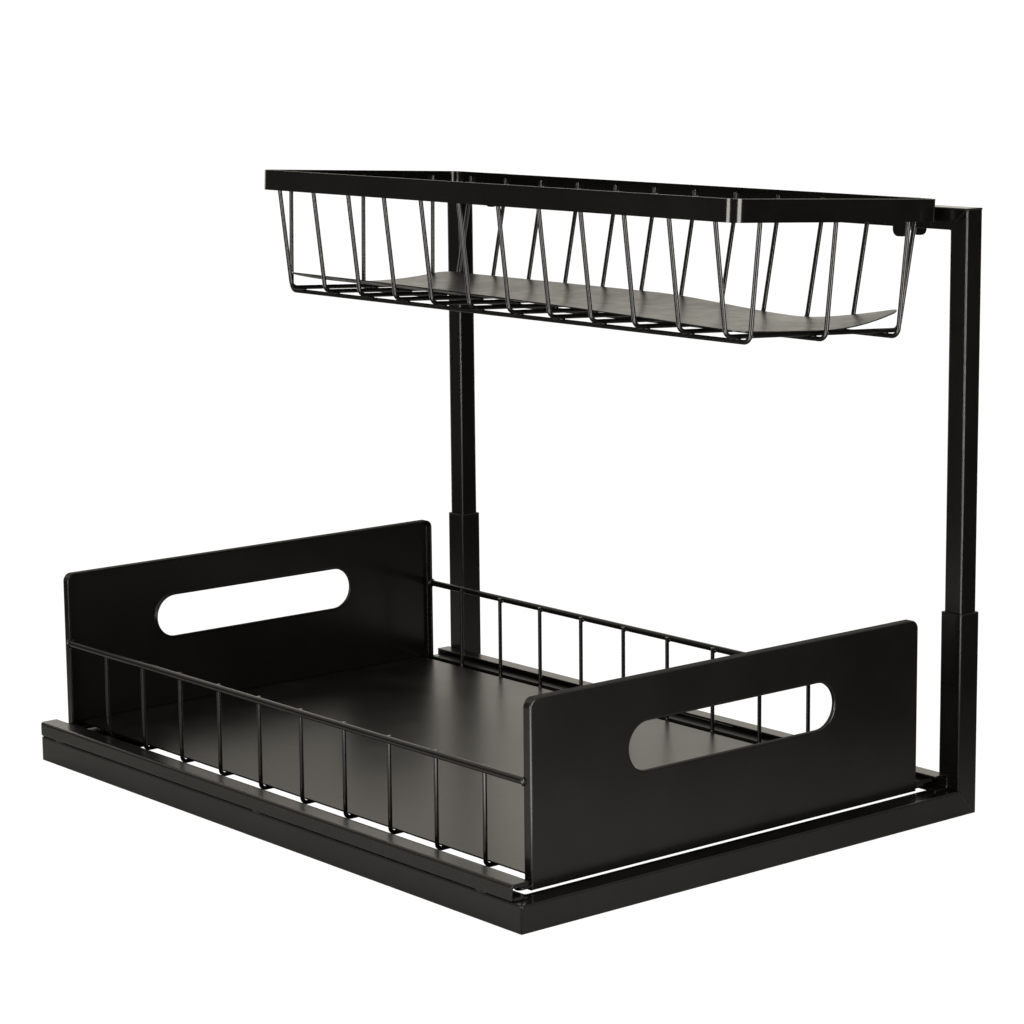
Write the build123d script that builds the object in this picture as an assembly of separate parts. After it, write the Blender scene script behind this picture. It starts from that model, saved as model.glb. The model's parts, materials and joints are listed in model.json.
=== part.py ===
"""Two-tier under-sink organizer: a pull-out wire drawer under a hanging wire basket.

Millimetres. X runs along the drawer's travel, and +X is the end it pulls out of. Y runs from
the open long side to the long side that carries the posts. Z is up. The origin is on the
floor, in the middle of the base.
"""
import math
import os

from build123d import *

# Base: three square tubes and two post sleeves
base_length = 420.0
base_depth = 307.0
tube = 13.6
tube_wall = 1.0
tube_edge_radius = 0.6
base_corner_radius = 0.8
sleeve_top = 106.5

# Upper frame: two posts that plug into the sleeves, and a crossbar
post_clearance = 0.2
post_wall = 1.0
post_edge_radius = 0.6
post_insertion = 40.0
frame_height = 313.0
stop_plug_height = 12.0
stop_plug_clearance = 0.1

# Slide rails: roll-formed channels on the base, open towards the drawer
rail_depth = 10.0
rail_height = 8.3
rail_sheet = 1.0
rail_bend_radius = 1.5
rail_front_setback = 7.0

# Drawer: two pan-shaped end plates, side rails, bent wires and a sheet floor
drawer_front_lap = 0.4
drawer_side_gap = 7.4
plate_height = 90.2
plate_drop = 1.4
plate_sheet = 1.0
plate_flange = 5.0
plate_corner_radius = 4.5
plate_edge_radius = 0.7
slot_length = 137.5
slot_height = 24.0
slot_centre_height = 56.3
slot_lip = 1.0
side_rail_diameter = 3.6
side_rail_height = 50.8
drawer_wire_diameter = 2.2
drawer_wire_count = 10
drawer_wire_bend = 3.0
drawer_wire_top = 1.0
drawer_wire_clearance = 1.6
floor_sheet = 0.8
floor_end_gap = 1.5
floor_bend_gap = 0.2
floor_corner_radius = 6.0
weld_gap = 0.05

# Slides: flat runners on the drawer, on caged balls inside the rails
runner_thickness = 2.0
runner_rail_gap = 2.0
runner_end_gap = 2.0
ear_length = 10.0
ear_inside = 5.0
ear_rail_gap = 0.7
ear_corner_radius = 1.5
screw_diameter = 3.0
screw_head_diameter = 5.5
screw_head_height = 1.5
screw_head_chamfer = 0.5
screw_hole_clearance = 0.1
ball_diameter = 1.6
balls_per_row = 4
ball_pitch = 30.0
ball_pocket_clearance = 0.2
cage_sheet = 0.7
cage_depth = 6.0
cage_bend_radius = 1.0
cage_web_gap = 0.5
cage_end = 8.0
bumper_runner_gap = 0.3
bumper_fit = 0.1
bumper_corner_radius = 0.7

# Basket: a flat rim band, bent wires in two directions and a loose liner
basket_back_inset = 13.7
basket_front_inset = 16.9
basket_depth = 144.6
basket_tilt = 2.84
basket_height = 70.2
rim_below_bar = 7.1
rim_height = 11.3
rim_sheet = 1.5
rim_corner_radius = 7.0
basket_wire_diameter = 2.4
basket_wire_bend = 4.5
basket_wire_setback = 2.5
basket_wire_straight = 0.5
cross_wire_count = 12
cross_wire_back_inset = 16.7
cross_wire_front_inset = 14.8
cross_wire_front_taper = 9.5
cross_wire_rear_taper = 8.4
long_wire_count = 3
long_wire_pitch = 51.8
long_wire_front_taper = 3.7
long_wire_back_taper = 2.4
liner_sheet = 0.6
liner_end_gap = 1.0
liner_near_gap = 2.6
liner_far_gap = 3.6
liner_rest_gap = 0.3
liner_near_back_rise = 6.4
liner_near_front_rise = 1.0
liner_far_rise = 5.1
liner_dip_start = 0.5
liner_dip_place = 0.81
liner_tip_rise = 9.6
liner_tip_bend = 1.4
liner_corner_radius = 8.0
liner_steps_along = 24
liner_steps_across = 8

# Saddles: straps that hang the basket's rim on the crossbar
saddle_sheet = 1.4
saddle_width = 10.0
saddle_inset = 45.0
saddle_leg = 16.0
saddle_tip_radius = 3.5
saddle_shoulder = 0.6
saddle_crown = 2.2
saddle_bar_clearance = 0.3
saddle_rim_gap = 0.1

# Places on the base and the upper frame
half_length = base_length / 2
half_depth = base_depth / 2
sleeve_bore = tube - 2 * tube_wall
post = sleeve_bore - 2 * post_clearance
post_x = half_length - tube / 2
post_y = half_depth - tube / 2
post_foot = sleeve_top - post_insertion

# Places on the rails: the open side's rail is drawn, the other mirrors it about the drawer
rail_y = -half_depth
rail_middle_z = tube + rail_height / 2
rail_back_x = -half_length
rail_front_x = half_length - rail_front_setback
rail_mouth_y = rail_y + rail_depth
drawer_y = (rail_y + half_depth - tube) / 2

# Places on the drawer
drawer_back_x = -half_length
drawer_front_x = half_length - tube + drawer_front_lap
drawer_length = drawer_front_x - drawer_back_x
drawer_x = (drawer_front_x + drawer_back_x) / 2
drawer_side_y = rail_mouth_y + drawer_side_gap
drawer_depth = 2 * (drawer_y - drawer_side_y)
runner_bottom = rail_middle_z - runner_thickness / 2
ear_bottom = runner_bottom - plate_sheet
plate_bottom = ear_bottom - plate_drop
side_rail_y = drawer_side_y + plate_sheet / 2
side_rail_z = plate_bottom + side_rail_height
drawer_wire_y = side_rail_y + (side_rail_diameter + drawer_wire_diameter) / 2 + weld_gap
drawer_wire_z = plate_bottom + drawer_wire_clearance + drawer_wire_diameter / 2
floor_bottom = drawer_wire_z + drawer_wire_diameter / 2 + weld_gap
ear_end_y = rail_mouth_y + ear_rail_gap
screw_x = drawer_front_x - ear_length / 2
screw_y = (ear_end_y + drawer_side_y) / 2

# Places in the ball slides
ball_gap = (rail_height - 2 * rail_sheet - runner_thickness) / 2
ball_row_rise = (runner_thickness + ball_gap) / 2
cage_y = rail_y + rail_sheet + cage_web_gap
cage_height = 2 * ball_row_rise + cage_sheet
cage_length = (balls_per_row - 1) * ball_pitch + 2 * cage_end
cage_x = (drawer_back_x + runner_end_gap + rail_front_x) / 2
ball_y = rail_y + (rail_sheet + runner_rail_gap + cage_depth + cage_web_gap + rail_sheet) / 2

# Places on the basket, drawn level: it is tilted about the rear lower edge of the rim
bar_front_y = post_y - post / 2
saddle_front_y = bar_front_y - saddle_bar_clearance - saddle_sheet
rim_lean = rim_height * math.sin(math.radians(basket_tilt))
rim_rear_y = saddle_front_y - saddle_rim_gap - rim_lean
rim_bottom = frame_height - rim_below_bar
rim_top = rim_bottom + rim_height
rim_back_x = -half_length + basket_back_inset
rim_front_x = half_length - basket_front_inset
basket_x = (rim_back_x + rim_front_x) / 2
basket_y = rim_rear_y - basket_depth / 2
basket_length = rim_front_x - rim_back_x
rim_to_wire = rim_sheet + weld_gap + basket_wire_diameter / 2
wire_top_z = rim_top - basket_wire_setback
wire_lean_z = rim_bottom - basket_wire_straight
long_wire_z = rim_top - basket_height + basket_wire_diameter / 2
cross_wire_z = long_wire_z + basket_wire_diameter + weld_gap
liner_bottom = cross_wire_z + basket_wire_diameter / 2 + liner_rest_gap


def square_tube(size, wall, edge_radius, length):
    """A square tube that stands on Z = 0 around the Z axis."""
    inner = size - 2 * wall
    section = RectangleRounded(size, size, edge_radius) - RectangleRounded(inner, inner, edge_radius - wall / 2)
    return extrude(section, amount=length)


def cut_to(shape, point, keep_towards):
    """The part of a shape that lies on one side of a plane through a point."""
    return split(shape, bisect_by=Plane(origin=point, z_dir=keep_towards), keep=Keep.TOP)


def along_x(face, start, end):
    """A face drawn in Y and Z, drawn out along X."""
    return extrude(Plane((start, 0, 0), x_dir=(0, 1, 0), z_dir=(1, 0, 0)) * face, amount=end - start)


def bent_wire(points, bend, diameter):
    """A round wire along straight runs that meet in bends of one radius."""
    path = FilletPolyline(*points, radius=bend)
    return sweep(Plane(path @ 0, z_dir=path % 0) * Circle(diameter / 2), path=path)


def channel(depth, height, sheet, bend):
    """A channel section: its web on Y = 0, its mouth towards +Y, its middle on Z = 0."""
    outer = Pos(depth / 2, 0) * Rectangle(depth, height)
    outer = fillet(outer.vertices().sort_by(Axis.X)[:2], bend)
    inner = Pos(sheet + depth / 2, 0) * Rectangle(depth, height - 2 * sheet)
    inner = fillet(inner.vertices().sort_by(Axis.X)[:2], bend - sheet / 2)
    return outer - inner


def other_side(shape):
    """The same piece on the drawer's side next to the posts."""
    return mirror(shape, about=Plane((0, drawer_y, 0), z_dir=(0, 1, 0)))


def other_end(shape):
    """The same piece at the base's back end."""
    return mirror(shape, about=Plane.YZ)


def drawer_other_end(shape):
    """The same piece at the drawer's back end."""
    return mirror(shape, about=Plane((drawer_x, 0, 0), z_dir=(1, 0, 0)))


def base_tubes():
    """The open side's long tube and the front end tube, mitred where tubes and sleeves meet."""
    plan = extrude(RectangleRounded(base_length, base_depth, base_corner_radius), amount=tube)
    side = Pos(-half_length, tube / 2 - half_depth, tube / 2) * Rot(0, 90, 0) * square_tube(
        tube, tube_wall, tube_edge_radius, base_length)
    end = Pos(post_x, -half_depth, tube / 2) * Rot(-90, 0, 0) * square_tube(
        tube, tube_wall, tube_edge_radius, base_depth)
    front_corner = (half_length, -half_depth, 0)
    side = cut_to(side, front_corner, (-1, -1, 0))
    side = cut_to(side, (-half_length, -half_depth, 0), (1, -1, 0))
    end = cut_to(end, front_corner, (1, 1, 0))
    end = cut_to(end & plan, (post_x, half_depth, 0), (0, -1, -1))
    return side & plan, end


def sleeve():
    """The front end's lower post, mitred at its foot to the end tube."""
    upright = Pos(post_x, post_y, 0) * square_tube(tube, tube_wall, tube_edge_radius, sleeve_top)
    return cut_to(upright, (post_x, half_depth, 0), (0, 1, 1))


def post_stop():
    """A plug in the sleeve that the post stands on."""
    size = sleeve_bore - 2 * stop_plug_clearance
    plug = extrude(RectangleRounded(size, size, tube_edge_radius), amount=stop_plug_height)
    return Pos(post_x, post_y, post_foot - stop_plug_height) * plug


def upper_frame():
    """The front post and the crossbar, mitred at the top corners."""
    upright = Pos(post_x, post_y, post_foot) * square_tube(
        post, post_wall, post_edge_radius, frame_height - post_foot)
    reach = post_x + post / 2
    bar = Pos(-reach, post_y, frame_height - post / 2) * Rot(0, 90, 0) * square_tube(
        post, post_wall, post_edge_radius, 2 * reach)
    upright = cut_to(upright, (reach, post_y, frame_height), (1, 0, -1))
    bar = cut_to(bar, (reach, post_y, frame_height), (-1, 0, 1))
    bar = cut_to(bar, (-reach, post_y, frame_height), (1, 0, 1))
    return upright, bar


def slide_rail():
    """The open side's rail, which stands on the base's tubes."""
    section = channel(rail_depth, rail_height, rail_sheet, rail_bend_radius)
    return along_x(Pos(rail_y, rail_middle_z) * section, rail_back_x, rail_front_x)


def slide_bumper():
    """A rubber block in the rail's back end, where the closed drawer's runner stops."""
    depth = rail_depth - rail_sheet - 2 * bumper_fit
    height = rail_height - 2 * rail_sheet - 2 * bumper_fit
    section = Pos(rail_y + rail_sheet + rail_depth / 2 - rail_sheet / 2, rail_middle_z) * RectangleRounded(
        depth, height, bumper_corner_radius)
    return along_x(section, rail_back_x, rail_back_x + runner_end_gap - bumper_runner_gap)


def ball_places():
    """The centres of one slide's balls: a row over the runner and a row under it."""
    first = cage_x - (balls_per_row - 1) * ball_pitch / 2
    rises = (-ball_row_rise, ball_row_rise)
    return [(first + i * ball_pitch, ball_y, rail_middle_z + rise) for i in range(balls_per_row) for rise in rises]


def ball_cage():
    """The strip that wraps the runner's edge and keeps the balls apart."""
    section = Pos(cage_y, rail_middle_z) * channel(cage_depth, cage_height, cage_sheet, cage_bend_radius)
    cage = along_x(section, cage_x - cage_length / 2, cage_x + cage_length / 2)
    pocket = Cylinder(ball_diameter / 2 + ball_pocket_clearance, 2 * cage_sheet)
    return cage - [Pos(*place) * pocket for place in ball_places()]


def bearing_balls():
    """One slide's balls."""
    return [Pos(*place) * Sphere(ball_diameter / 2) for place in ball_places()]


def screw_hole(height):
    """The clearance hole of a runner screw, through a sheet whose middle is at a height."""
    hole = Cylinder(screw_diameter / 2 + screw_hole_clearance, 2 * (plate_sheet + runner_thickness))
    return Pos(screw_x, screw_y, height) * hole


def runner():
    """The open side's flat runner, on the ears of both plates."""
    outer_y = rail_y + rail_sheet + runner_rail_gap
    width = drawer_side_y - outer_y
    length = drawer_length - 2 * runner_end_gap
    bar = Pos(drawer_x, outer_y + width / 2, rail_middle_z) * Box(length, width, runner_thickness)
    hole = screw_hole(rail_middle_z)
    return bar - hole - drawer_other_end(hole)


def runner_screw():
    """A pan-head screw from below, through the ear into the runner."""
    head = Pos(0, 0, -screw_head_height / 2) * Cylinder(screw_head_diameter / 2, screw_head_height)
    head = chamfer(head.edges().sort_by(Axis.Z)[0], screw_head_chamfer)
    length = plate_sheet + runner_thickness
    shank = Pos(0, 0, length / 2) * Cylinder(screw_diameter / 2, length)
    return Pos(screw_x, screw_y, ear_bottom) * (head + shank)


def plate_outline(inset):
    """The end plate's outline in Y and Z, with its upper corners rounded."""
    blank = Rectangle(drawer_depth - 2 * inset, plate_height - 2 * inset)
    blank = fillet(blank.vertices().sort_by(Axis.Y)[-2:], plate_corner_radius - inset)
    return Pos(drawer_y, plate_bottom + plate_height / 2) * blank


def drawer_plate():
    """The drawer's front end plate: a pan with a lipped finger slot and two ears for the runners."""
    inner_x = drawer_front_x - plate_sheet
    pan = along_x(plate_outline(0), drawer_front_x - plate_flange, drawer_front_x)
    pan -= along_x(plate_outline(plate_sheet), drawer_front_x - plate_flange, inner_x)
    pan = fillet(pan.faces().sort_by(Axis.X)[-1].edges(), plate_edge_radius)
    slot_place = Pos(drawer_y, plate_bottom + slot_centre_height)
    slot = slot_place * SlotOverall(slot_length, slot_height)
    lip = slot_place * SlotOverall(slot_length + 2 * plate_sheet, slot_height + 2 * plate_sheet)
    pan += along_x(lip, inner_x - slot_lip, inner_x)
    pan -= along_x(slot, inner_x - slot_lip, drawer_front_x)
    slot_edges = pan.faces().sort_by(Axis.X)[-1].inner_wires()[0].edges()
    pan = fillet(slot_edges, plate_edge_radius)
    ear_width = drawer_side_y + ear_inside - ear_end_y
    ear = extrude(Rectangle(ear_length, ear_width), amount=plate_sheet)
    ear = fillet(ear.edges().filter_by(Axis.Z), ear_corner_radius)
    ear = Pos(drawer_front_x - ear_length / 2, ear_end_y + ear_width / 2, ear_bottom) * ear
    hole = screw_hole(ear_bottom + plate_sheet / 2)
    return pan + ear + other_side(ear) - hole - other_side(hole)


def drawer_side_rail():
    """The open side's round rail, butted to the plates' flanges."""
    start = drawer_back_x + plate_flange
    end = drawer_front_x - plate_flange
    return along_x(Pos(side_rail_y, side_rail_z) * Circle(side_rail_diameter / 2), start, end)


def drawer_wires():
    """The drawer's bent wires, evenly spaced between the plates."""
    far_y = 2 * drawer_y - drawer_wire_y
    top_z = side_rail_z + drawer_wire_top
    pitch = (drawer_length - 2 * plate_sheet) / (drawer_wire_count + 1)
    wires = []
    for i in range(drawer_wire_count):
        x = drawer_back_x + plate_sheet + (i + 1) * pitch
        points = [(x, drawer_wire_y, top_z), (x, drawer_wire_y, drawer_wire_z)]
        points += [(x, far_y, drawer_wire_z), (x, far_y, top_z)]
        wires.append(bent_wire(points, drawer_wire_bend, drawer_wire_diameter))
    return wires


def drawer_floor():
    """The sheet that lies on the drawer's wires."""
    length = drawer_length - 2 * (plate_sheet + floor_end_gap)
    depth = 2 * (drawer_y - drawer_wire_y - drawer_wire_bend - floor_bend_gap)
    return Pos(drawer_x, drawer_y, floor_bottom) * extrude(
        RectangleRounded(length, depth, floor_corner_radius), amount=floor_sheet)


def tilted(shape):
    """A piece of the level basket, tilted front up about the rim's rear lower edge."""
    pivot = Pos(0, rim_rear_y, rim_bottom)
    return pivot * Rot(-basket_tilt, 0, 0) * pivot.inverse() * shape


def basket_rim():
    """The flat band around the basket's mouth."""
    outer = RectangleRounded(basket_length, basket_depth, rim_corner_radius)
    inner = RectangleRounded(
        basket_length - 2 * rim_sheet, basket_depth - 2 * rim_sheet, rim_corner_radius - rim_sheet)
    return Pos(basket_x, basket_y, rim_bottom) * extrude(outer - inner, amount=rim_height)


def basket_cross_wires():
    """The wires that run from the basket's rear over its bottom to its front."""
    reach = basket_depth / 2 - rim_to_wire
    front_y = basket_y - reach
    rear_y = basket_y + reach
    first = rim_back_x + cross_wire_back_inset
    last = rim_front_x - cross_wire_front_inset
    wires = []
    for i in range(cross_wire_count):
        x = first + i * (last - first) / (cross_wire_count - 1)
        points = [(x, front_y, wire_top_z), (x, front_y, wire_lean_z)]
        points += [(x, front_y + cross_wire_front_taper, cross_wire_z)]
        points += [(x, rear_y - cross_wire_rear_taper, cross_wire_z)]
        points += [(x, rear_y, wire_lean_z), (x, rear_y, wire_top_z)]
        wires.append(bent_wire(points, basket_wire_bend, basket_wire_diameter))
    return wires


def basket_long_wires():
    """The wires that run along the basket under the cross wires and up both ends."""
    reach = basket_length / 2 - rim_to_wire
    back_x = basket_x - reach
    front_x = basket_x + reach
    wires = []
    for i in range(long_wire_count):
        y = basket_y + (i - (long_wire_count - 1) / 2) * long_wire_pitch
        points = [(back_x, y, wire_top_z), (back_x, y, wire_lean_z)]
        points += [(back_x + long_wire_back_taper, y, long_wire_z)]
        points += [(front_x - long_wire_front_taper, y, long_wire_z)]
        points += [(front_x, y, wire_lean_z), (front_x, y, wire_top_z)]
        wires.append(bent_wire(points, basket_wire_bend, basket_wire_diameter))
    return wires


def liner_rise(along, across):
    """Height of the liner above its lowest line, at a share of its length and of its width."""
    near = liner_near_back_rise + (liner_near_front_rise - liner_near_back_rise) * along**2
    ease = min(max((along - liner_dip_start) / (liner_dip_place - liner_dip_start), 0), 1)
    tip = max((along - liner_dip_place) / (1 - liner_dip_place), 0)
    far = liner_far_rise * (1 - ease * ease * (3 - 2 * ease)) + liner_tip_rise * tip**liner_tip_bend
    side = 2 * across - 1
    return side**2 * (near if side < 0 else far)


def basket_liner():
    """The thin loose sheet: its middle lies on the cross wires, its long edges and one corner ride up."""
    to_end_wire = rim_to_wire + basket_wire_diameter / 2 + liner_end_gap
    back_x = rim_back_x + to_end_wire + long_wire_back_taper
    front_x = rim_front_x - to_end_wire - long_wire_front_taper
    near_y = rim_rear_y - basket_depth + rim_to_wire + cross_wire_front_taper + liner_near_gap
    far_y = rim_rear_y - rim_to_wire - cross_wire_rear_taper - liner_far_gap
    length = front_x - back_x
    depth = far_y - near_y
    rows = []
    for i in range(liner_steps_along + 1):
        along = i / liner_steps_along
        places = [j / liner_steps_across for j in range(liner_steps_across + 1)]
        rows.append([(back_x + along * length, near_y + across * depth, liner_bottom + liner_rise(along, across))
                     for across in places])
    sheet = extrude(Face.make_surface_from_array_of_points(rows), amount=liner_sheet, dir=(0, 0, 1))
    plan = Pos((back_x + front_x) / 2, (near_y + far_y) / 2) * RectangleRounded(length, depth, liner_corner_radius)
    return sheet & extrude(Pos(0, 0, liner_bottom) * plan, amount=basket_height, both=True)


def saddle():
    """The front strap, a bent hook over the crossbar that the rim is welded to."""
    inner = post / 2 + saddle_bar_clearance
    outer = inner + saddle_sheet
    crown = ThreePointArc((-outer, saddle_shoulder), (0, saddle_sheet + saddle_crown), (outer, saddle_shoulder))
    legs = Polyline((outer, saddle_shoulder), (outer, -saddle_leg), (inner, -saddle_leg), (inner, 0),
                    (-inner, 0), (-inner, -saddle_leg), (-outer, -saddle_leg), (-outer, saddle_shoulder))
    section = Pos(post_y, frame_height) * make_face(crown + legs)
    middle = half_length - saddle_inset
    strap = along_x(section, middle - saddle_width / 2, middle + saddle_width / 2)
    tips = strap.edges().filter_by(Axis.Y).group_by(Axis.Z)[0]
    return fillet(tips, saddle_tip_radius)


def assembly():
    """Every piece of the organizer, by name."""
    side_tube, end_tube = base_tubes()
    front_sleeve = sleeve()
    front_post, crossbar = upper_frame()
    stop = post_stop()
    rail = slide_rail()
    bumper = slide_bumper()
    cage = ball_cage()
    balls = bearing_balls()
    bar = runner()
    screw = runner_screw()
    screws = [screw, drawer_other_end(screw)]
    plate = drawer_plate()
    side_rail = drawer_side_rail()
    strap = saddle()
    pieces = {
        "base_side_tube": side_tube,
        "base_front_tube": end_tube,
        "base_back_tube": other_end(end_tube),
        "front_sleeve": front_sleeve,
        "back_sleeve": other_end(front_sleeve),
        "post_stops": Compound(children=[stop, other_end(stop)]),
        "open_side_rail": rail,
        "post_side_rail": other_side(rail),
        "slide_bumpers": Compound(children=[bumper, other_side(bumper)]),
        "open_side_ball_cage": cage,
        "post_side_ball_cage": other_side(cage),
        "bearing_balls": Compound(children=balls + [other_side(ball) for ball in balls]),
        "drawer_front_plate": plate,
        "drawer_back_plate": drawer_other_end(plate),
        "drawer_open_side_rail": side_rail,
        "drawer_post_side_rail": other_side(side_rail),
        "drawer_floor": drawer_floor(),
        "open_side_runner": bar,
        "post_side_runner": other_side(bar),
        "runner_screws": Compound(children=screws + [other_side(each) for each in screws]),
        "front_post": front_post,
        "back_post": other_end(front_post),
        "crossbar": crossbar,
        "basket_rim": tilted(basket_rim()),
        "basket_liner": tilted(basket_liner()),
        "front_saddle": strap,
        "back_saddle": other_end(strap),
    }
    for number, wire in enumerate(drawer_wires(), 1):
        pieces[f"drawer_wire_{number:02d}"] = wire
    for number, wire in enumerate(basket_cross_wires(), 1):
        pieces[f"basket_cross_wire_{number:02d}"] = tilted(wire)
    for number, wire in enumerate(basket_long_wires(), 1):
        pieces[f"basket_long_wire_{number:02d}"] = tilted(wire)
    return pieces


os.makedirs("parts", exist_ok=True)
for name, piece in assembly().items():
    export_step(piece, f"parts/{name}.step")
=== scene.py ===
"""Looks of the two-tier under-sink organizer: black powder coat, welds, screws and the studio."""
import json
import math

import bmesh
import bpy
from mathutils import Matrix, Vector


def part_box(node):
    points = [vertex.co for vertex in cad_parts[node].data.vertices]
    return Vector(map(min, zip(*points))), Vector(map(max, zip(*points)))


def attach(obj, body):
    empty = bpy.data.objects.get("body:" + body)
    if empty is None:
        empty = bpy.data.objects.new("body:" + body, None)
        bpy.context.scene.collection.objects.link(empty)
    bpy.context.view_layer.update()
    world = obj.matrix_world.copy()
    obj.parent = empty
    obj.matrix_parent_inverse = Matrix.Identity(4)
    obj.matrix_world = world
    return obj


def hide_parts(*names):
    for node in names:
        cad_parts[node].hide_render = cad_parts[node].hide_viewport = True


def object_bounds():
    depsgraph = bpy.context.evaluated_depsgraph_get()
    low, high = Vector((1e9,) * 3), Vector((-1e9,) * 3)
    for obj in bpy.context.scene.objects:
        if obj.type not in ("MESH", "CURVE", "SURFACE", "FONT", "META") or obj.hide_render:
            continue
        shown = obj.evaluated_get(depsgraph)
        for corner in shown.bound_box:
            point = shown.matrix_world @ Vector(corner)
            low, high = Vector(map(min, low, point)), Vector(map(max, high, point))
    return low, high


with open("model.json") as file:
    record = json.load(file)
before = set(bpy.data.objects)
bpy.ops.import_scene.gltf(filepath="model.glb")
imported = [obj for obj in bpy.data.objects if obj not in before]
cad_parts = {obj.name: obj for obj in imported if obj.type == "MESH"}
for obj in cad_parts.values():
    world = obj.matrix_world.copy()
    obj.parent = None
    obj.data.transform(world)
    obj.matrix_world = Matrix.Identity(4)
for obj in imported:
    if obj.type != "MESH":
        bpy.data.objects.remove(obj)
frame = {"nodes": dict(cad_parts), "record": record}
cad_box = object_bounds()
scene = bpy.context.scene
nodes = frame["nodes"]

# Metres in a millimetre
MM = 0.001

# Camera of the photograph, in metres, and the level directions of its view
CAMERA_PLACE = (1.18666, -0.96444, 0.41479)
CAMERA_YAW = math.radians(50.402)
CAMERA_PITCH = math.radians(-9.843)
CAMERA_ROLL = math.radians(0.595)
SENSOR_WIDTH = 36.0
LENS = 102.59
PHOTO_WIDTH = 1024
PIXELS_UP = 0.45
CLIP_START = 0.01
REARWARD = (-math.sin(CAMERA_YAW), math.cos(CAMERA_YAW), 0.0)
LEFTWARD = (-math.cos(CAMERA_YAW), -math.sin(CAMERA_YAW), 0.0)

# Studio floor, with distances in metres: its paint is painted light and shade, a pale pool near the object
# that fades to dark outward, and paler behind and on the left
FLOOR_HALF = 6.0
FLOOR_CENTRE = (-0.02, -0.12, 0.0)
FLOOR_NEAR_PAINTED_LIGHT = 0.64
FLOOR_FAR_PAINTED_SHADE = 0.06
FLOOR_FADE = (0.2, 0.6)
FLOOR_REAR_PAINTED_LIGHT = 0.6
FLOOR_REAR_FADE = (0.38, 0.65)
FLOOR_REAR_REACH = (1.0, 1.3)
FLOOR_LEFT_PAINTED_LIGHT = 0.15
FLOOR_LEFT_FADE = (0.6, 0.9)

# Glowing patch of the floor, painted light that rounded edges mirror as highlights: its edges are in metres
# rearward and sideways
PATCH_PAINTED_GLOW = 8.0
PATCH_NEAR_EDGE = (-0.4, -0.33)
PATCH_FAR_EDGE = (-1.05, -0.95)
PATCH_SIDE_EDGE = (0.22, 0.3)

# Studio room: the edges are cosines of the angle to the rear, to the zenith and to the left
WHITE_LIGHT = 1.05
ROOM_LIGHT = 0.09
ROOM_TINT = (1.055, 1.0, 0.88)
COVE_LIGHT = 0.98
COVE_EDGE = (0.3, 0.85)
CEILING_LIGHT = 0.6
CEILING_EDGE = (0.15, 0.7)
LEFT_LIGHT = 0.04
LEFT_EDGE = (0.3, 0.9)

# Softboxes, in metres and watts
SOFTBOX_SIZE = (0.4, 0.38)
SOFTBOX_DISTANCE = 0.95
SOFTBOX_HEIGHT = 0.195
SOFTBOX_ANGLE = math.radians(39.0)
SOFTBOX_POWER = 7.1
REAR_SOFTBOX_POWER = 1.3
SOFTBOX_TINT = (1.0, 0.965, 0.91)

# Tones of the coats
BLACK = (0.0020, 0.0019, 0.0017)
BLACK_WORN = (0.0034, 0.0032, 0.0029)
ZINC_DARK = (0.36, 0.37, 0.38)
ZINC_LIGHT = (0.52, 0.53, 0.54)
STEEL_DARK = (0.58, 0.58, 0.6)
STEEL_LIGHT = (0.7, 0.7, 0.72)
RUBBER_DARK = (0.008, 0.008, 0.008)
RUBBER_LIGHT = (0.014, 0.014, 0.013)
PLASTIC_DARK = (0.012, 0.012, 0.012)
PLASTIC_LIGHT = (0.02, 0.02, 0.019)
DUST_TONE = (0.10, 0.098, 0.094)

# Build of the coats
COAT_IOR = 1.42
GRAIN_SHARE = 0.35
DRIFT_SHARE = 0.55
SPECK_SHARE = 0.6
RUB_STRETCH = (9.0, 900.0, 900.0)
RUB_GAIN = 2.2
RUB_POLISH = 0.1
DUST_DULLING = 0.35
ROUGHNESS_SWING = 0.03
GRAIN_RANGE = (0.3, 0.7)
CREST_FACING = (0.5, 0.9)
EDGE_SAMPLES = 6

# Mitre between the sleeves and the end tubes, in metres: on its line Y + Z is one sum
MITRE_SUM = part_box("front_sleeve")[1].y
MITRE_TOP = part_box("base_side_tube")[1].z
MITRE_FADE_TOP = 1.1 * MITRE_TOP
MITRE_HALF_WIDTH = 0.0004
MITRE_DEPTH = 0.00012

# Places of the basket's welds, in millimetres from its rim as it stands level
BASKET_TILT = math.radians(2.84)
RIM_HEIGHT = 11.3
RIM_WELD_RISE = 5.5
RIM_TO_WIRE_WELD = 1.65
RIM_TO_SADDLE_WELD = 0.21
SADDLE_WELD_GAP = 0.1
CROSSING_DROP = 56.47
LONG_WIRE_PITCH = 51.8

# Places of the other welds, in millimetres
WIRE_WELD_DROP = 0.7
OPEN_RAIL_TACKS = (-192.0, 0.0, 180.0)
OPEN_RAIL_TACK_INSET = 0.9
OPEN_RAIL_TACK_RISE = 0.4
POST_RAIL_TACKS = (-203.0, 199.7)
POST_RAIL_TACK_INSET = 0.2
POST_RAIL_TACK_RISE = 0.5
SEAM_END_GAP = 0.4

# Lengths of the base's top seams, as shares of the mitre across a tube
INNER_SEAM_SHARE = 0.25
OUTER_SEAM_SHARE = 0.5

# Half sizes of the welds along X, Y and Z, in millimetres
LONG_SIDE_WELD = (2.0, 0.75, 2.9)
END_SIDE_WELD = (0.75, 2.0, 2.9)
CROSSING_WELD = (1.7, 1.7, 0.6)
SADDLE_WELD = (0.7, 0.45, 2.4)
DRAWER_WIRE_WELD = (1.7, 0.6, 1.4)
RAIL_END_HALF_LENGTH = 0.9
RAIL_END_COLLAR = 1.0
OPEN_RAIL_TACK = (4.2, 0.85, 1.2)
POST_RAIL_TACK = (2.6, 0.8, 1.0)
SLEEVE_TACK = (0.8, 0.7, 3.0)

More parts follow.
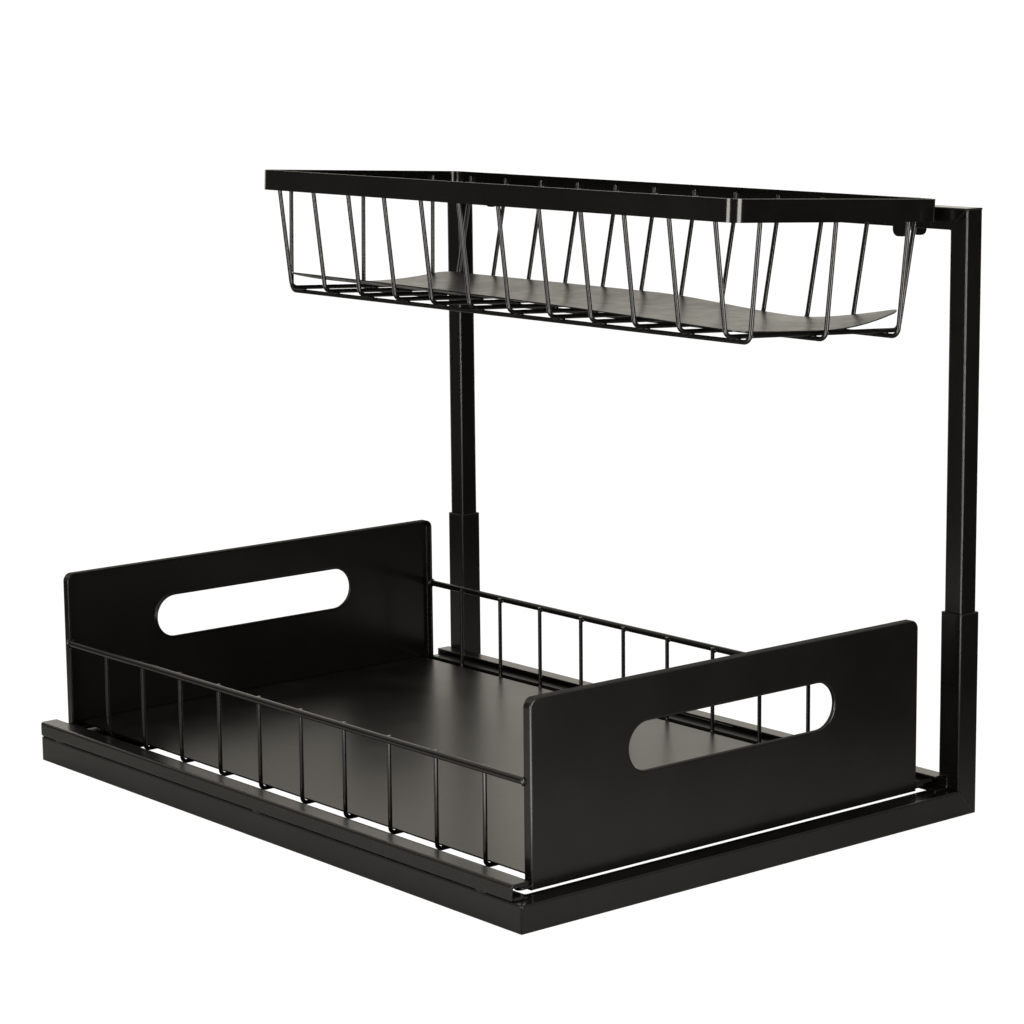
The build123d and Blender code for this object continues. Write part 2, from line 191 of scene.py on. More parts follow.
# Build of the weld nuggets and the seams' beads, in millimetres, with lumps per metre
NUGGET_SEGMENTS = 10
NUGGET_RINGS = 6
NUGGET_SCALES = (0.82, 1.12)
NUGGET_LUMPS = 0.5
NUGGET_LUMP_RATE = 700.0
NUGGET_SEED = 3
BEAD_RADIUS = 0.22
BEAD_SIDES = 8
BEAD_STEP = 1.2
BEAD_LUMPS = 0.25
BEAD_LUMP_RATE = 500.0
NOISE_MIDDLE = (0.5, 0.5, 0.5)

# Screws of the runners, in millimetres: the dome has radii and heights, and the head points down
SCREW_HEAD_RADIUS = 2.75
SCREW_HEAD_RISE = 1.5
SCREW_DOME = ((1.2, -1.45), (2.2, -1.1), (2.65, -0.55))
SCREW_SHANK_RADIUS = 1.5
SCREW_SHANK = 3.0
SCREW_SIDES = 20
SCREW_MERGE = 0.01
RECESS_LENGTH = 2.9
RECESS_WIDTH = 0.75
RECESS_HEIGHT = 1.8
RECESS_TAPER = 0.6
SCREW_SEED = 5


def photograph_camera():
    """The camera, set at the place and turn of the photograph's view."""
    forward = Vector((-math.sin(CAMERA_YAW) * math.cos(CAMERA_PITCH),
                      math.cos(CAMERA_YAW) * math.cos(CAMERA_PITCH), math.sin(CAMERA_PITCH)))
    level = Vector((math.cos(CAMERA_YAW), math.sin(CAMERA_YAW), 0.0))
    down = forward.cross(level)
    right = level * math.cos(CAMERA_ROLL) + down * math.sin(CAMERA_ROLL)
    down = down * math.cos(CAMERA_ROLL) - level * math.sin(CAMERA_ROLL)
    turn = Matrix((right, -down, -forward)).transposed().to_4x4()
    data = bpy.data.cameras.new("photograph_camera")
    data.sensor_width = SENSOR_WIDTH
    data.lens = LENS
    data.shift_y = PIXELS_UP / PHOTO_WIDTH
    data.clip_start = CLIP_START
    camera = bpy.data.objects.new("photograph_camera", data)
    camera.matrix_world = Matrix.Translation(CAMERA_PLACE) @ turn
    scene.collection.objects.link(camera)
    scene.camera = camera


def added(tree, kind, feeds=None, **settings):
    """A new node of a kind, with its settings; what feeds an input is a socket or a plain value."""
    node = tree.nodes.new(kind)
    for name, value in settings.items():
        setattr(node, name, value)
    for name, value in (feeds or {}).items():
        if isinstance(value, bpy.types.NodeSocket):
            tree.links.new(value, node.inputs[name])
        else:
            node.inputs[name].default_value = value
    return node


def math_node(tree, operation, *values):
    """The result of a Math node, from sockets or plain numbers."""
    return added(tree, "ShaderNodeMath", dict(enumerate(values)), operation=operation).outputs[0]


def product(tree, first, *factors):
    """Sockets or plain numbers, multiplied."""
    result = first
    for factor in factors:
        result = math_node(tree, "MULTIPLY", result, factor)
    return result


def vector_node(tree, operation, vector, other):
    """A Vector Math node of a vector and a second one, which is a socket or plain numbers."""
    return added(tree, "ShaderNodeVectorMath", {0: vector, 1: other}, operation=operation)


def scaled_vector(tree, vector, scale):
    """A vector times a value."""
    return added(tree, "ShaderNodeVectorMath", {0: vector, "Scale": scale}, operation="SCALE").outputs[0]


def axes(tree, vector):
    """The X, Y and Z of a vector."""
    return added(tree, "ShaderNodeSeparateXYZ", {0: vector}).outputs


def noise(tree, vector, scale, detail=2.0, roughness=0.5):
    """A noise texture's value."""
    feeds = {"Vector": vector, "Scale": scale, "Detail": detail, "Roughness": roughness}
    return added(tree, "ShaderNodeTexNoise", feeds).outputs[0]


def spread(tree, value, low, high, to_low=0.0, to_high=1.0):
    """A value mapped smoothly from one range to another."""
    feeds = {"Value": value, "From Min": low, "From Max": high, "To Min": to_low, "To Max": to_high}
    return added(tree, "ShaderNodeMapRange", feeds, interpolation_type="SMOOTHSTEP").outputs[0]


def effect_group(name, inputs, outputs):
    """A shader node group that takes a vector and named values, and the sockets that bring them."""
    tree = bpy.data.node_groups.new(name, "ShaderNodeTree")
    tree.interface.new_socket("Vector", in_out="INPUT", socket_type="NodeSocketVector")
    for label, value in inputs.items():
        socket = tree.interface.new_socket(label, in_out="INPUT", socket_type="NodeSocketFloat")
        socket.default_value = value
    for label in outputs:
        tree.interface.new_socket(label, in_out="OUTPUT", socket_type="NodeSocketFloat")
    return tree, added(tree, "NodeGroupInput").outputs


def powder_coat_group():
    """Orange peel of a baked powder coat: soft waves with a fine grain, and clouds of tone."""
    tree, given = effect_group("powder_coat", {"Waves per Metre": 420.0}, ("Height", "Grain", "Cloud"))
    waves = scaled_vector(tree, given["Vector"], given["Waves per Metre"])
    peel = noise(tree, waves, scale=1.0, detail=1.5)
    grain = noise(tree, waves, scale=3.7, detail=2.0, roughness=0.6)
    cloud = noise(tree, waves, scale=0.055, detail=3.0, roughness=0.55)
    height = math_node(tree, "ADD", peel, product(tree, grain, GRAIN_SHARE))
    cloud = spread(tree, cloud, low=0.32, high=0.68)
    added(tree, "NodeGroupOutput", {"Height": height, "Grain": grain, "Cloud": cloud})
    return tree


def dust_group():
    """Fine dust that settles on faces that look up."""
    tree, given = effect_group("settled_dust", {"Upward": 0.0, "Amount": 0.3}, ("Dust",))
    drift = noise(tree, given["Vector"], scale=38.0, detail=4.0, roughness=0.6)
    drift = spread(tree, drift, low=0.35, high=0.75)
    specks = noise(tree, given["Vector"], scale=1500.0, detail=1.0)
    specks = spread(tree, specks, low=0.66, high=0.78)
    cover = math_node(tree, "ADD", product(tree, drift, DRIFT_SHARE), product(tree, specks, SPECK_SHARE))
    facing = spread(tree, given["Upward"], low=0.35, high=0.95)
    added(tree, "NodeGroupOutput", {"Dust": product(tree, cover, facing, given["Amount"])})
    return tree


def rubbing_group():
    """Faint marks rubbed along X where things slide."""
    tree, given = effect_group("rubbing", {"Amount": 0.3}, ("Marks",))
    feeds = {"Vector": given["Vector"], "Scale": RUB_STRETCH}
    stretched = added(tree, "ShaderNodeMapping", feeds).outputs[0]
    strokes = noise(tree, stretched, scale=1.0, detail=3.0, roughness=0.65)
    strokes = spread(tree, strokes, low=0.58, high=0.74)
    places = noise(tree, given["Vector"], scale=21.0, detail=2.0)
    places = spread(tree, places, low=0.42, high=0.66)
    added(tree, "NodeGroupOutput", {"Marks": product(tree, strokes, places, given["Amount"])})
    return tree


def opaque(colour):
    """A colour with full alpha."""
    return (*colour, 1.0)


def mixed_colour(tree, share, first, second):
    """A colour between two colours, by a share."""
    feeds = {"Factor": share, "A": first, "B": second}
    return added(tree, "ShaderNodeMix", feeds, data_type="RGBA").outputs["Result"]


def mitre_line(tree, place):
    """The mitre between the sleeves and the end tubes: 1 on its line, 0 beside it."""
    at = axes(tree, place)
    across = math_node(tree, "SUBTRACT", math_node(tree, "ADD", at["Y"], at["Z"]), MITRE_SUM)
    near = spread(tree, math_node(tree, "ABSOLUTE", across), 0.0, MITRE_HALF_WIDTH, 1.0, 0.0)
    below_top = spread(tree, at["Z"], MITRE_TOP, MITRE_FADE_TOP, 1.0, 0.0)
    return product(tree, near, below_top)


def coated(name, dark, light, roughness, waves=420.0, peel=0.00003, dust=0.09, rub=0.2, edge=0.0, metal=0.0,
           mitre=False, crest=0.0):
    """A coat of paint, plastic or metal: two close tones, orange peel, dust on top and rubbed marks.

    Its edges are rounded by a radius, its mitre is a groove, and what looks up is rougher by its crest.
    """
    material = bpy.data.materials.new(name)
    material.use_nodes = True
    tree = material.node_tree
    shader = tree.nodes["Principled BSDF"]
    place = added(tree, "ShaderNodeTexCoord").outputs["Object"]
    upward = axes(tree, added(tree, "ShaderNodeNewGeometry").outputs["Normal"])["Z"]
    feeds = {"Vector": place, "Waves per Metre": waves}
    coat = added(tree, "ShaderNodeGroup", feeds, node_tree=POWDER_COAT).outputs
    feeds = {"Vector": place, "Upward": upward, "Amount": dust}
    settled = added(tree, "ShaderNodeGroup", feeds, node_tree=DUST).outputs["Dust"]
    feeds = {"Vector": place, "Amount": rub}
    marks = added(tree, "ShaderNodeGroup", feeds, node_tree=RUBBING).outputs["Marks"]
    tone = mixed_colour(tree, coat["Cloud"], opaque(dark), opaque(light))
    tone = mixed_colour(tree, marks, tone, opaque(RUB_GAIN * part for part in light))
    tone = mixed_colour(tree, settled, tone, opaque(DUST_TONE))
    smoothest, roughest = roughness - ROUGHNESS_SWING, roughness + ROUGHNESS_SWING
    rough = spread(tree, coat["Grain"], *GRAIN_RANGE, smoothest, roughest)
    rough = math_node(tree, "ADD", rough, product(tree, settled, DUST_DULLING))
    rough = math_node(tree, "SUBTRACT", rough, product(tree, marks, RUB_POLISH))
    if crest:
        rough = math_node(tree, "ADD", rough, spread(tree, upward, *CREST_FACING, 0.0, crest))
    height = coat["Height"]
    if mitre:
        sunk = product(tree, mitre_line(tree, place), MITRE_DEPTH / peel)
        height = math_node(tree, "SUBTRACT", height, sunk)
    bump = added(tree, "ShaderNodeBump", {"Distance": peel, "Height": height})
    if edge:
        rounding = added(tree, "ShaderNodeBevel", {"Radius": edge}, samples=EDGE_SAMPLES)
        tree.links.new(rounding.outputs[0], bump.inputs["Normal"])
    tree.links.new(tone, shader.inputs["Base Color"])
    tree.links.new(rough, shader.inputs["Roughness"])
    tree.links.new(bump.outputs[0], shader.inputs["Normal"])
    shader.inputs["IOR"].default_value = COAT_IOR
    shader.inputs["Metallic"].default_value = metal
    return material


def shape_tree(name, inputs):
    """A Geometry Nodes tree from places, named inputs and a material to a shape, and its inputs' sockets."""
    tree = bpy.data.node_groups.new(name, "GeometryNodeTree")
    for label, kind in {"Places": "Geometry", **inputs, "Material": "Material"}.items():
        tree.interface.new_socket(label, in_out="INPUT", socket_type="NodeSocket" + kind)
    tree.interface.new_socket("Shape", in_out="OUTPUT", socket_type="NodeSocketGeometry")
    return tree, added(tree, "NodeGroupInput").outputs


def real(tree, shape):
    """Instances made real geometry."""
    return added(tree, "GeometryNodeRealizeInstances", {"Geometry": shape}).outputs[0]


def smooth(tree, shape):
    """A shape, shaded smooth."""
    return added(tree, "GeometryNodeSetShadeSmooth", {"Geometry": shape}).outputs[0]


def finished(tree, shape, material):
    """The end of a tree: real geometry in its material."""
    feeds = {"Geometry": real(tree, shape), "Material": material}
    painted = added(tree, "GeometryNodeSetMaterial", feeds).outputs[0]
    added(tree, "NodeGroupOutput", {"Shape": painted})


def kept_vector(tree, name):
    """A vector that each place carries."""
    node = added(tree, "GeometryNodeInputNamedAttribute", {"Name": name}, data_type="FLOAT_VECTOR")
    return node.outputs[0]


def lumpy(tree, shape, rate, amount):
    """A shape whose points are shifted a little at random, smoothly over the shape."""
    place = added(tree, "GeometryNodeInputPosition").outputs[0]
    texture = added(tree, "ShaderNodeTexNoise", {"Vector": place, "Scale": rate})
    centred = vector_node(tree, "SUBTRACT", texture.outputs["Color"], NOISE_MIDDLE).outputs[0]
    feeds = {"Geometry": shape, "Offset": scaled_vector(tree, centred, amount)}
    return added(tree, "GeometryNodeSetPosition", feeds).outputs[0]


def nugget_tree():
    """A lumpy weld nugget on each place, with the half sizes and the turn that the place carries."""
    tree, given = shape_tree("weld_nuggets", {"Lumps": "Float", "Seed": "Int"})
    feeds = {"Segments": NUGGET_SEGMENTS, "Rings": NUGGET_RINGS, "Radius": 1.0}
    ball = added(tree, "GeometryNodeMeshUVSphere", feeds).outputs["Mesh"]
    least, most = NUGGET_SCALES
    feeds = {"Min": least, "Max": most, "Seed": given["Seed"]}
    chance = added(tree, "FunctionNodeRandomValue", feeds, data_type="FLOAT").outputs["Value"]
    size = scaled_vector(tree, kept_vector(tree, "half_size"), chance)
    turn = kept_vector(tree, "turn")
    feeds = {"Points": given["Places"], "Instance": ball, "Rotation": turn, "Scale": size}
    spots = added(tree, "GeometryNodeInstanceOnPoints", feeds).outputs[0]
    nuggets = lumpy(tree, real(tree, spots), NUGGET_LUMP_RATE, given["Lumps"])
    finished(tree, smooth(tree, nuggets), given["Material"])
    return tree


def seam_tree():
    """A thin weld bead along each line, a little uneven under its paint."""
    tree, given = shape_tree("mitre_seams", {"Bead Radius": "Float", "Lumps": "Float"})
    line = added(tree, "GeometryNodeMeshToCurve", {"Mesh": given["Places"]}).outputs[0]
    feeds = {"Curve": line, "Length": BEAD_STEP * MM}
    even = added(tree, "GeometryNodeResampleCurve", feeds, mode="LENGTH").outputs[0]
    uneven = lumpy(tree, even, BEAD_LUMP_RATE, given["Lumps"])
    feeds = {"Resolution": BEAD_SIDES, "Radius": given["Bead Radius"]}
    ring = added(tree, "GeometryNodeCurvePrimitiveCircle", feeds, mode="RADIUS").outputs["Curve"]
    feeds = {"Curve": uneven, "Profile Curve": ring, "Fill Caps": True}
    bead = added(tree, "GeometryNodeCurveToMesh", feeds).outputs[0]
    finished(tree, smooth(tree, bead), given["Material"])
    return tree


def screw_tree():
    """The same screw on each place, turned at random about its axis."""
    tree, given = shape_tree("runner_screws", {"Screw": "Object", "Seed": "Int"})
    pattern = added(tree, "GeometryNodeObjectInfo", {"Object": given["Screw"]}).outputs["Geometry"]
    feeds = {"Max": (0.0, 0.0, math.pi / 2), "Seed": given["Seed"]}
    turn = added(tree, "FunctionNodeRandomValue", feeds, data_type="FLOAT_VECTOR").outputs["Value"]
    feeds = {"Points": given["Places"], "Instance": pattern, "Rotation": turn}
    spots = added(tree, "GeometryNodeInstanceOnPoints", feeds).outputs[0]
    finished(tree, spots, given["Material"])
    return tree


def grown(name, tree, places, body, slot, **values):
    """The plain mesh that a tree makes on a mesh of places, kept in the CAD box and riding on a body."""
    piece = bpy.data.objects.new(name, places)
    scene.collection.objects.link(piece)
    modifier = piece.modifiers.new(tree.name, "NODES")
    modifier.node_group = tree
    values["Material"] = FINISHES[slot]
    for socket in tree.interface.items_tree:
        label = socket.name.replace(" ", "_")
        if socket.in_out == "INPUT" and label in values:
            modifier[socket.identifier] = values[label]
    shown = piece.evaluated_get(bpy.context.evaluated_depsgraph_get())
    mesh = bpy.data.meshes.new_from_object(shown)
    for corner in mesh.vertices:
        corner.co = [min(max(c, low), high) for c, low, high in zip(corner.co, *cad_box)]
    piece.modifiers.clear()
    piece.data = mesh
    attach(piece, body)
    return piece


def middle(node):
    """The middle of a CAD node's box, in millimetres."""
    low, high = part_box(node)
    return (low + high) / 2 / MM


def rows_of(start):
    """The X of each CAD wire whose name starts with the given words, in millimetres."""
    return [middle(name).x for name in nodes if name.startswith(start)]


def level_rim():
    """The low and high corners of the basket's rim as it stands level, in millimetres.

    The hung basket is tilted about the rim's lower rear edge, so that edge is where the frame has it.
    """
    low, high = (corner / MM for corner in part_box("basket_rim"))
    rear = high.y - RIM_HEIGHT * math.sin(BASKET_TILT)
    front = rear - (rear - low.y) / math.cos(BASKET_TILT)
    return Vector((low.x, front, low.z)), Vector((high.x, rear, low.z + RIM_HEIGHT))


def basket_welds():
    """Where the basket's wires meet its rim and each other, and where the saddles meet the rim."""
    low, high = level_rim()
    rim_height = low.z + RIM_WELD_RISE
    crossing_height = low.z - CROSSING_DROP
    rows = [(low.y + high.y) / 2 + step * LONG_WIRE_PITCH for step in (-1, 0, 1)]
    sides = (low.y + RIM_TO_WIRE_WELD, high.y - RIM_TO_WIRE_WELD)
    ends = (low.x + RIM_TO_WIRE_WELD, high.x - RIM_TO_WIRE_WELD)
    level = []
    for x in rows_of("basket_cross_wire"):
        level += [((x, y, rim_height), LONG_SIDE_WELD) for y in sides]
        level += [((x, y, crossing_height), CROSSING_WELD) for y in rows]
    for y in rows:
        level += [((x, y, rim_height), END_SIDE_WELD) for x in ends]
    for name in ("back_saddle", "front_saddle"):
        left, right = (corner.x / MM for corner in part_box(name))
        for x in (left - SADDLE_WELD_GAP, right + SADDLE_WELD_GAP):
            level.append(((x, high.y + RIM_TO_SADDLE_WELD, rim_height), SADDLE_WELD))
    pivot = Vector((0.0, high.y, low.z))
    turn = Matrix.Rotation(-BASKET_TILT, 3, "X")
    return [((pivot + turn @ (Vector(place) - pivot)) * MM, half_size) for place, half_size in level]


def drawer_welds():
    """Where the drawer's wires meet its round side rails, and where those meet the end plates."""
    welds = []
    for rail in ("drawer_open_side_rail", "drawer_post_side_rail"):
        low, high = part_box(rail)
        at = middle(rail)
        inward = 1 if at.y < 0 else -1
        radius = (high.y - low.y) / 2 / MM
        for x in rows_of("drawer_wire"):
            place = Vector((x, at.y + inward * radius, at.z - WIRE_WELD_DROP)) * MM
            welds.append((place, DRAWER_WIRE_WELD))
        collar = radius + RAIL_END_COLLAR
        for x in (low.x / MM, high.x / MM):
            welds.append((Vector((x, at.y, at.z)) * MM, (RAIL_END_HALF_LENGTH, collar, collar)))
    return welds


def base_welds():
    """Tacks along the seams between the slide rails and the tubes and sleeves that carry them."""
    welds = []
    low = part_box("open_side_rail")[0]
    for x in OPEN_RAIL_TACKS:
        place = Vector((x * MM, low.y + OPEN_RAIL_TACK_INSET * MM, low.z + OPEN_RAIL_TACK_RISE * MM))
        welds.append((place, OPEN_RAIL_TACK))
    low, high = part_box("post_side_rail")
    for x in POST_RAIL_TACKS:
        place = Vector((x * MM, high.y - POST_RAIL_TACK_INSET * MM, low.z + POST_RAIL_TACK_RISE * MM))
        welds.append((place, POST_RAIL_TACK))
    for x in (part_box("back_sleeve")[1].x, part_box("front_sleeve")[0].x):
        welds.append((Vector((x, high.y, (low.z + high.z) / 2)), SLEEVE_TACK))
    return welds


def weld_places(name, welds, lean):
    """A mesh of weld places that lean about X: each has a point in metres and half sizes in millimetres."""
    mesh = bpy.data.meshes.new(name)
    mesh.from_pydata([place for place, half_size in welds], [], [])
    sizes = mesh.attributes.new("half_size", "FLOAT_VECTOR", "POINT")
    turns = mesh.attributes.new("turn", "FLOAT_VECTOR", "POINT")
    for i, (place, half_size) in enumerate(welds):
        sizes.data[i].vector = Vector(half_size) * MM
        turns.data[i].vector = (lean, 0.0, 0.0)
    return mesh


def base_seams():
    """Mitre seams of the base: on its inner faces, and on top of its corners at the open side."""
    low, high = (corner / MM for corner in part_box("base_side_tube"))
    tube = high.z - low.z
    inner_y = low.y + tube
    lines = []
    for name, step in (("front_sleeve", 1), ("back_sleeve", -1)):
        sleeve_low, sleeve_high = (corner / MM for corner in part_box(name))
        inner = sleeve_low.x if step > 0 else sleeve_high.x
        top_end = (inner + INNER_SEAM_SHARE * step * tube, inner_y - INNER_SEAM_SHARE * tube, tube)
        lines.append(((inner, sleeve_high.y, SEAM_END_GAP), (inner, sleeve_low.y, tube)))
        lines.append(((inner, inner_y, SEAM_END_GAP), (inner, inner_y, tube)))
        lines.append(((inner, inner_y, tube), top_end))
    corner = (high.x - SEAM_END_GAP, low.y + SEAM_END_GAP, tube)
    reach = OUTER_SEAM_SHARE * tube
    lines.append((corner, (high.x - reach, low.y + reach, tube)))
    return lines


def post_seams():
    """Mitre seams of the upper frame, where the posts meet the crossbar."""
    lines = []
    for name, step in (("front_post", 1), ("back_post", -1)):
        low, high = (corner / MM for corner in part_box(name))
        post = high.y - low.y
        outer, inner = (high.x, low.x) if step > 0 else (low.x, high.x)
        for y in (low.y, high.y):
            lines.append(((outer, y, high.z - SEAM_END_GAP), (inner, y, high.z - post)))
    return lines


def seam_lines(name, lines):
    """A mesh of straight lines, in millimetres."""
    mesh = bpy.data.meshes.new(name)
    ends = [Vector(end) * MM for line in lines for end in line]
    mesh.from_pydata(ends, [(i, i + 1) for i in range(0, len(ends), 2)], [])
    return mesh


def screw_blank():
    """The turned shape of a pan-head screw: a domed head that points down, and a plain shank."""
    shape = bmesh.new()
    profile = [(0.0, -SCREW_HEAD_RISE), *SCREW_DOME, (SCREW_HEAD_RADIUS, 0.0), (SCREW_SHANK_RADIUS, 0.0),
               (SCREW_SHANK_RADIUS, SCREW_SHANK), (0.0, SCREW_SHANK)]
    corners = [shape.verts.new((r * MM, 0.0, z * MM)) for r, z in profile]
    rim = [shape.edges.new(pair) for pair in zip(corners, corners[1:])]
    bmesh.ops.spin(shape, geom=corners + rim, cent=(0, 0, 0), axis=(0, 0, 1), angle=math.tau,
                   steps=SCREW_SIDES)
    bmesh.ops.remove_doubles(shape, verts=shape.verts, dist=SCREW_MERGE * MM)
    bmesh.ops.recalc_face_normals(shape, faces=shape.faces)
    return shape


def cross_recess():
    """The tapered cross that is cut into a screw's head."""
    cutter = bmesh.new()
    for width, depth in ((RECESS_LENGTH, RECESS_WIDTH), (RECESS_WIDTH, RECESS_LENGTH)):
        box = bmesh.ops.create_cube(cutter, size=1.0)["verts"]
        bmesh.ops.scale(cutter, vec=(width * MM, depth * MM, RECESS_HEIGHT * MM), verts=box)
        bmesh.ops.translate(cutter, vec=(0, 0, -SCREW_HEAD_RISE * MM), verts=box)
        bottom = [v for v in box if v.co.z > -SCREW_HEAD_RISE * MM]
        bmesh.ops.scale(cutter, vec=(RECESS_TAPER, RECESS_TAPER, 1.0), verts=bottom)
    return cutter


def cross_recess_screw():
    """The pattern of a pan-head screw with a cross recess."""
    objects = []
    for name, shape in (("screw", screw_blank()), ("recess", cross_recess())):
        data = bpy.data.meshes.new(name)
        shape.to_mesh(data)
        shape.free()
        objects.append(bpy.data.objects.new(name, data))
        scene.collection.objects.link(objects[-1])
    screw, recess = objects
    cut = screw.modifiers.new("recess", "BOOLEAN")
    cut.object = recess
    cut.solver = "EXACT"
    cut.use_self = True
    mesh = bpy.data.meshes.new_from_object(screw.evaluated_get(bpy.context.evaluated_depsgraph_get()))
    screw.modifiers.clear()
    screw.data = mesh
    bpy.data.objects.remove(recess)
    return screw


def runner_screws():
    """The four screws that hold the runners on the drawer's ears."""
    low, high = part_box("runner_screws")
    reach = SCREW_HEAD_RADIUS * MM
    height = high.z - SCREW_SHANK * MM
    rows = (low.x + reach, high.x - reach)
    sides = (low.y + reach, high.y - reach)
    mesh = bpy.data.meshes.new("screw_places")
    mesh.from_pydata([(x, y, height) for x in rows for y in sides], [], [])
    pattern = cross_recess_screw()
    screws = grown("runner_cross_screws", screw_tree(), mesh, "drawer", "zinc", Screw=pattern,
                   Seed=SCREW_SEED)
    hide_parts("runner_screws")
    bpy.data.objects.remove(pattern)


def along(tree, vector, direction):
    """How far a vector reaches along a direction."""
    return vector_node(tree, "DOT_PRODUCT", vector, direction).outputs["Value"]


def white_to_camera(tree, lit, white, end):
    """The end of a studio's tree: plain white to the camera, and its own shader to all other rays."""
    feeds = {"Color": opaque((1.0, 1.0, 1.0)), "Strength": WHITE_LIGHT}
    plain = added(tree, white, feeds).outputs[0]
    eye = added(tree, "ShaderNodeLightPath").outputs["Is Camera Ray"]
    either = added(tree, "ShaderNodeMixShader", {0: eye, 1: lit.outputs[0], 2: plain}).outputs[0]
    added(tree, end, {"Surface": either})


def floor_material():
    """The floor's paint, with its painted light and shade and its glowing patch of painted light, which the
    camera sees as plain white.
    """
    material = bpy.data.materials.new("studio_floor")
    material.use_nodes = True
    tree = material.node_tree
    tree.nodes.clear()
    place = added(tree, "ShaderNodeTexCoord").outputs["Object"]
    shifted = vector_node(tree, "SUBTRACT", place, FLOOR_CENTRE).outputs[0]
    away = added(tree, "ShaderNodeVectorMath", {0: shifted}, operation="LENGTH").outputs["Value"]
    behind = along(tree, place, REARWARD)
    left = along(tree, place, LEFTWARD)
    # Painted light and shade: the floor's tone is pale near the object, behind and on the left, and dark far
    # off, standing in for where the studio's light falls
    painted_pool_of_light = spread(tree, away, *FLOOR_FADE, FLOOR_NEAR_PAINTED_LIGHT, FLOOR_FAR_PAINTED_SHADE)
    rear = product(tree, spread(tree, behind, *FLOOR_REAR_FADE, 0.0, FLOOR_REAR_PAINTED_LIGHT),
                   spread(tree, away, *FLOOR_REAR_REACH, 1.0, 0.0))
    side = spread(tree, left, *FLOOR_LEFT_FADE, 0.0, FLOOR_LEFT_PAINTED_LIGHT)
    tone = math_node(tree, "MAXIMUM", math_node(tree, "MAXIMUM", painted_pool_of_light, rear), side)
    paint = added(tree, "ShaderNodeBsdfDiffuse", {"Color": tone}).outputs[0]
    # Painted light: a patch of the floor glows, with no lamp in it, so that rounded edges mirror it as
    # highlights
    patch = product(tree, spread(tree, behind, *PATCH_NEAR_EDGE, PATCH_PAINTED_GLOW, 0.0),
                    spread(tree, behind, *PATCH_FAR_EDGE),
                    spread(tree, math_node(tree, "ABSOLUTE", left), *PATCH_SIDE_EDGE, 1.0, 0.0))
    painted_glow = added(tree, "ShaderNodeEmission", {"Strength": patch}).outputs[0]
    lit = added(tree, "ShaderNodeAddShader", {0: paint, 1: painted_glow})
    white_to_camera(tree, lit, "ShaderNodeEmission", "ShaderNodeOutputMaterial")
    return material


def studio_floor():
    """The floor that the object stands on."""
    mesh = bpy.data.meshes.new("studio_floor")
    half = FLOOR_HALF
    corners = [(-half, -half, 0), (half, -half, 0), (half, half, 0), (-half, half, 0)]
    mesh.from_pydata(corners, [], [(0, 1, 2, 3)])
    floor = bpy.data.objects.new("studio_floor", mesh)
    scene.collection.objects.link(floor)
    mesh.materials.append(floor_material())


def studio_world():
    """A white cove behind the object, a soft ceiling and a dim room on the camera's side."""
    world = bpy.data.worlds.new("studio")
    scene.world = world
    world.use_nodes = True
    tree = world.node_tree
    tree.nodes.clear()
    direction = added(tree, "ShaderNodeTexCoord").outputs["Generated"]
    cove = spread(tree, along(tree, direction, REARWARD), *COVE_EDGE, ROOM_LIGHT, COVE_LIGHT)
    ceiling = spread(tree, axes(tree, direction)["Z"], *CEILING_EDGE, 0.0, CEILING_LIGHT)
    left = spread(tree, along(tree, direction, LEFTWARD), *LEFT_EDGE, 0.0, LEFT_LIGHT)
    strength = math_node(tree, "ADD", math_node(tree, "MAXIMUM", cove, ceiling), left)
    lit = added(tree, "ShaderNodeBackground", {"Color": opaque(ROOM_TINT), "Strength": strength})
    white_to_camera(tree, lit, "ShaderNodeBackground", "ShaderNodeOutputWorld")


def softbox(heading, power):
    """An upright softbox just above the floor, aimed level at the object; headings start at the camera."""
    turn = math.atan2(CAMERA_PLACE[1], CAMERA_PLACE[0]) + heading
    place = Vector((SOFTBOX_DISTANCE * math.cos(turn), SOFTBOX_DISTANCE * math.sin(turn), SOFTBOX_HEIGHT))
    data = bpy.data.lights.new("softbox", "AREA")
    data.shape = "RECTANGLE"
    data.size, data.size_y = SOFTBOX_SIZE
    data.energy = power
    data.color = SOFTBOX_TINT
    light = bpy.data.objects.new("softbox", data)
    light.location = place
    light.rotation_euler = (-place.xy.to_3d()).to_track_quat("-Z", "Y").to_euler()
    light.visible_camera = False
    scene.collection.objects.link(light)


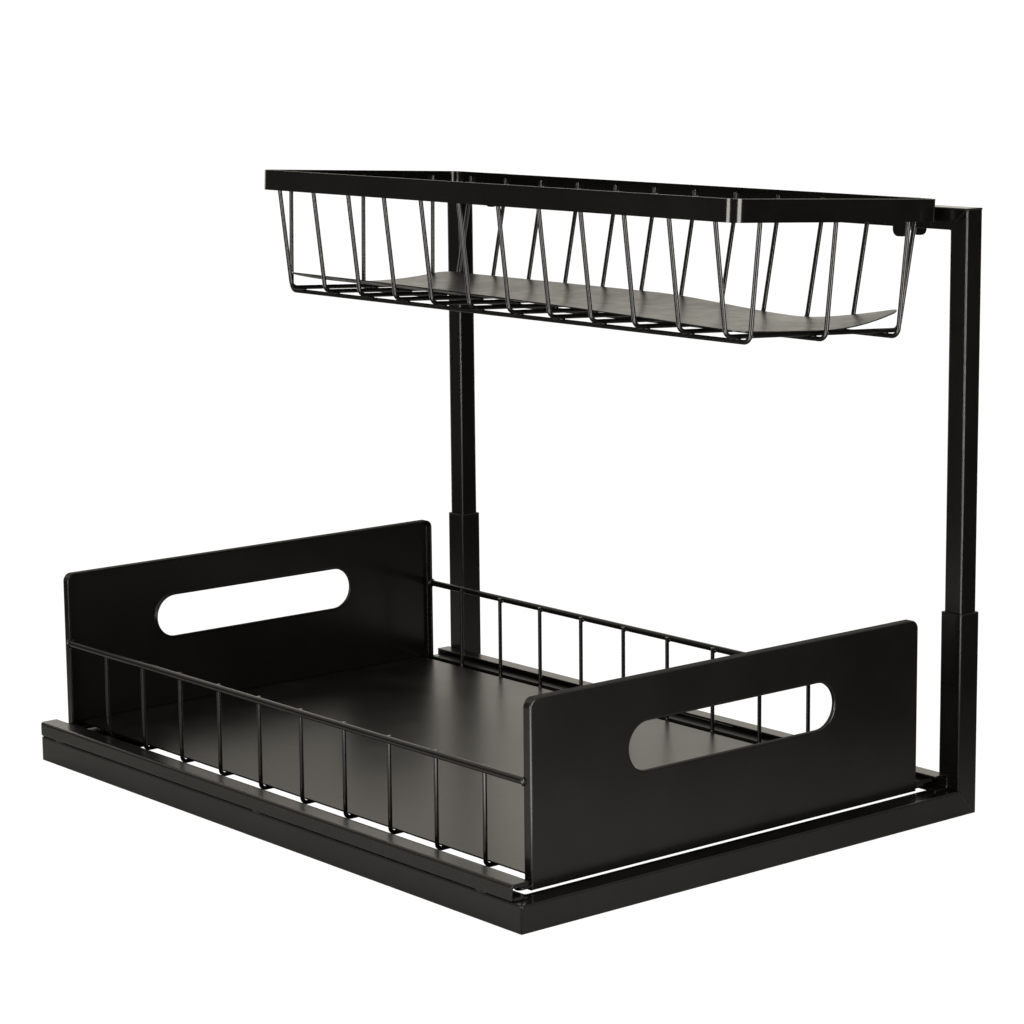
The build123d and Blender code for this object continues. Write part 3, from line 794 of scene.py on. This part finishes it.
# Coats of the CAD nodes
POWDER_COAT = powder_coat_group()
DUST = dust_group()
RUBBING = rubbing_group()
FINISHES = {
    "frame_coat": coated("frame_powder_coat", BLACK, BLACK_WORN, roughness=0.18, peel=0.00001, edge=0.0014,
                         mitre=True),
    "rail_coat": coated("rail_powder_coat", BLACK, BLACK_WORN, roughness=0.26, peel=0.00001, edge=0.001),
    "plate_coat": coated("plate_powder_coat", BLACK, BLACK_WORN, roughness=0.22, waves=380.0, peel=0.00001,
                         edge=0.001, crest=0.6),
    "wire_coat": coated("wire_powder_coat", BLACK, BLACK_WORN, roughness=0.2, waves=620.0, peel=0.000002),
    "rim_coat": coated("rim_powder_coat", BLACK, BLACK_WORN, roughness=0.15, peel=0.000008),
    "floor_coat": coated("drawer_floor_coat", BLACK, BLACK_WORN, roughness=0.31, waves=340.0, dust=0.12,
                         rub=0.18),
    "liner_plastic": coated("liner_plastic", BLACK, BLACK_WORN, roughness=0.33, waves=30.0, peel=0.000001,
                            dust=0.02, rub=0.0),
    "slide_steel": coated("runner_coat", BLACK, BLACK_WORN, roughness=0.42, rub=0.6),
    "zinc": coated("zinc_plate", ZINC_DARK, ZINC_LIGHT, roughness=0.36, waves=260.0, dust=0.1, metal=1.0),
    "ball_steel": coated("ball_steel", STEEL_DARK, STEEL_LIGHT, roughness=0.12, dust=0.0, rub=0.0,
                         metal=1.0),
    "bumper_rubber": coated("bumper_rubber", RUBBER_DARK, RUBBER_LIGHT, roughness=0.7, waves=700.0),
    "plug_plastic": coated("plug_plastic", PLASTIC_DARK, PLASTIC_LIGHT, roughness=0.5, waves=500.0),
}
for subpart in frame["record"]["subparts"]:
    mesh = nodes[subpart["node"]].data
    mesh.materials.clear()
    mesh.materials.append(FINISHES[subpart["material_slot"]])

# Welds, seams and screws
nuggets = nugget_tree()
seams = seam_tree()
for name, body, slot, welds, lean in (
        ("basket_weld_spots", "basket", "wire_coat", basket_welds(), -BASKET_TILT),
        ("drawer_weld_spots", "drawer", "wire_coat", drawer_welds(), 0.0),
        ("base_tack_welds", "base", "rail_coat", base_welds(), 0.0)):
    places = weld_places(name, welds, lean)
    grown(name, nuggets, places, body, slot, Lumps=NUGGET_LUMPS * MM, Seed=NUGGET_SEED)
for name, body, lines in (("base_mitre_seams", "base", base_seams()),
                          ("post_mitre_seams", "upper_frame", post_seams())):
    places = seam_lines(name, lines)
    grown(name, seams, places, body, "frame_coat", Bead_Radius=BEAD_RADIUS * MM, Lumps=BEAD_LUMPS * MM)
runner_screws()

# Camera and studio
photograph_camera()
for side in (-1, 1):
    softbox(side * SOFTBOX_ANGLE, SOFTBOX_POWER)
    softbox(math.pi + side * SOFTBOX_ANGLE, REAR_SOFTBOX_POWER)
studio_floor()
studio_world()
scene.view_settings.view_transform = "Standard"
